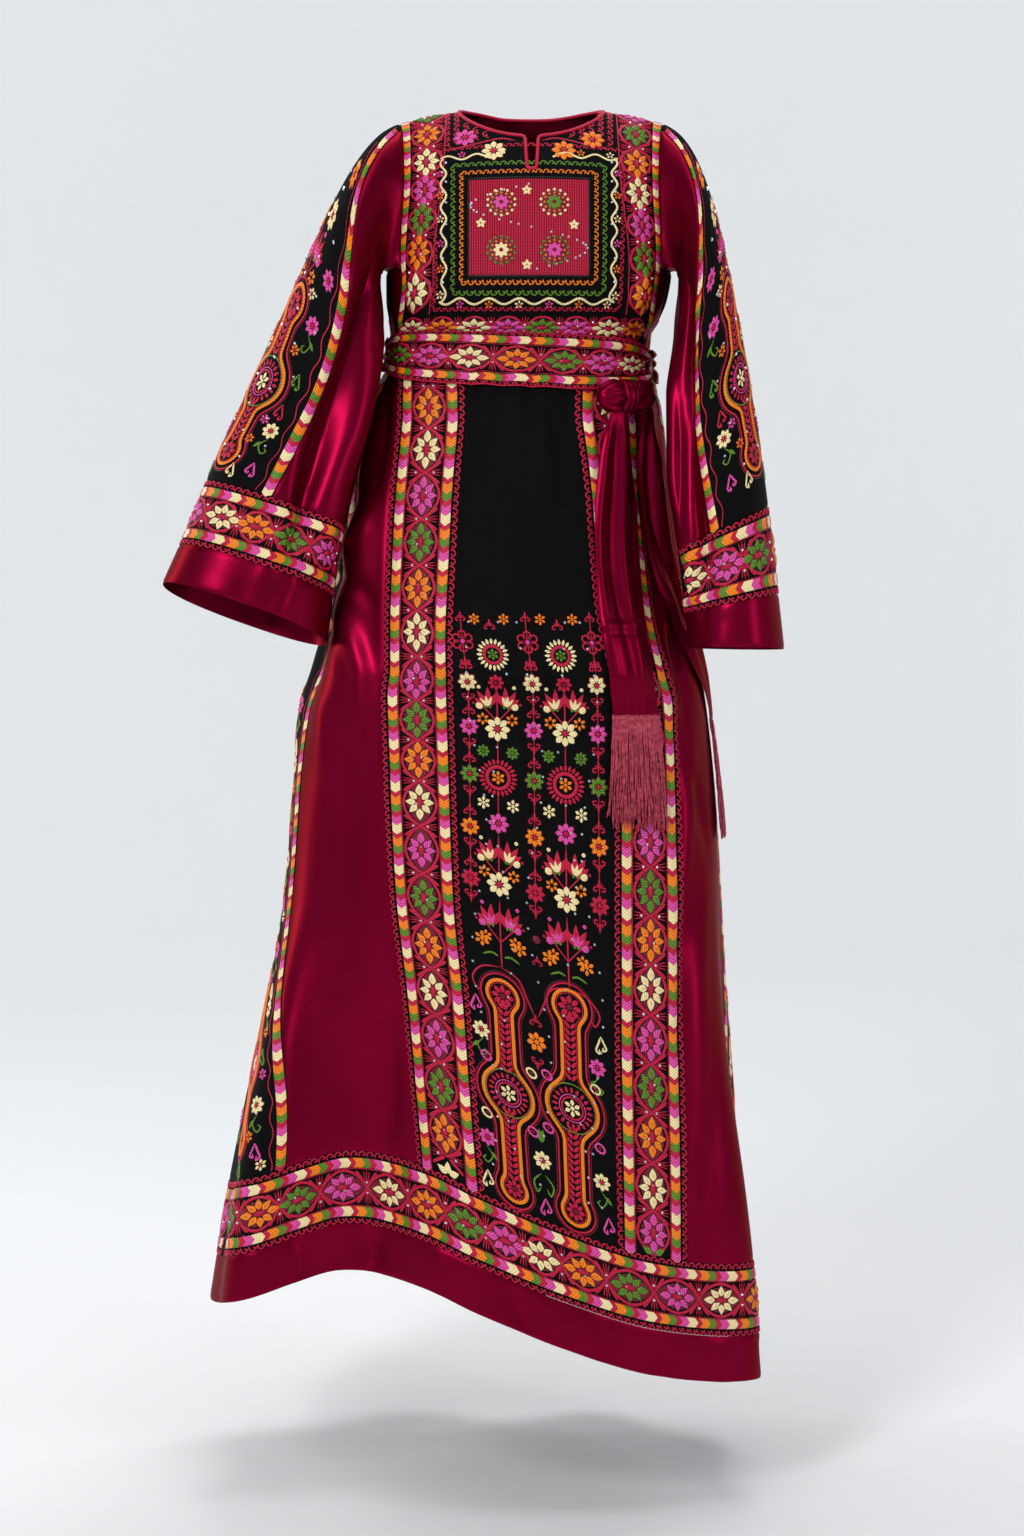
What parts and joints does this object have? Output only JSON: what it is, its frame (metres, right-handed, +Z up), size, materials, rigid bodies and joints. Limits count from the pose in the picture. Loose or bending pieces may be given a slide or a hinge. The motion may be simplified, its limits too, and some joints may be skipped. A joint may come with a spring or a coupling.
{
  "type": "dress",
  "caption": "Full-length embroidered dress in its hollow worn shape, with flared open sleeves, a slit neckline, a trimmed hem and a knotted, fringed sash.",
  "frame": {"origin": "on top of the shoulders, midway between them, where a wearer carries the dress", "axes": "+Z up, the wearer faces -Y, +X to the right of a viewer in front"},
  "size_m": [0.6394, 0.4503, 1.338],
  "materials": {
    "satin": "crimson duchess satin with a soft long sheen",
    "crepe": "matt black crepe, embroidered in places",
    "embroidered_crepe": "black crepe covered with crimson, cream, orange, pink and green rayon stitching",
    "fringe_thread": "twisted crimson rayon thread"
  },
  "bodies": {
    "root": {"chest_panel": "embroidered_crepe", "front_panel": "crepe", "front_band_left": "embroidered_crepe", "front_band_right": "embroidered_crepe", "side_front_left": "satin", "side_front_right": "satin", "side_gore_left": "crepe", "side_gore_right": "crepe", "back_bodice": "satin", "back_skirt": "satin", "hem_band_front": "embroidered_crepe", "hem_band_back": "embroidered_crepe", "hem_border_front": "satin", "hem_border_back": "satin", "sleeve_top_left": "crepe", "sleeve_front_left": "satin", "sleeve_back_left": "satin", "cuff_band_left": "embroidered_crepe", "cuff_border_left": "satin", "sleeve_top_right": "crepe", "sleeve_front_right": "satin", "sleeve_back_right": "satin", "cuff_band_right": "embroidered_crepe", "cuff_border_right": "satin", "sash_front": "embroidered_crepe", "sash_tie": "satin", "sash_knot": "satin", "sash_tail_front": "satin", "sash_tail_side": "satin", "sash_fringe_front": "fringe_thread", "sash_fringe_side": "fringe_thread"}
  },
  "joints": []
}
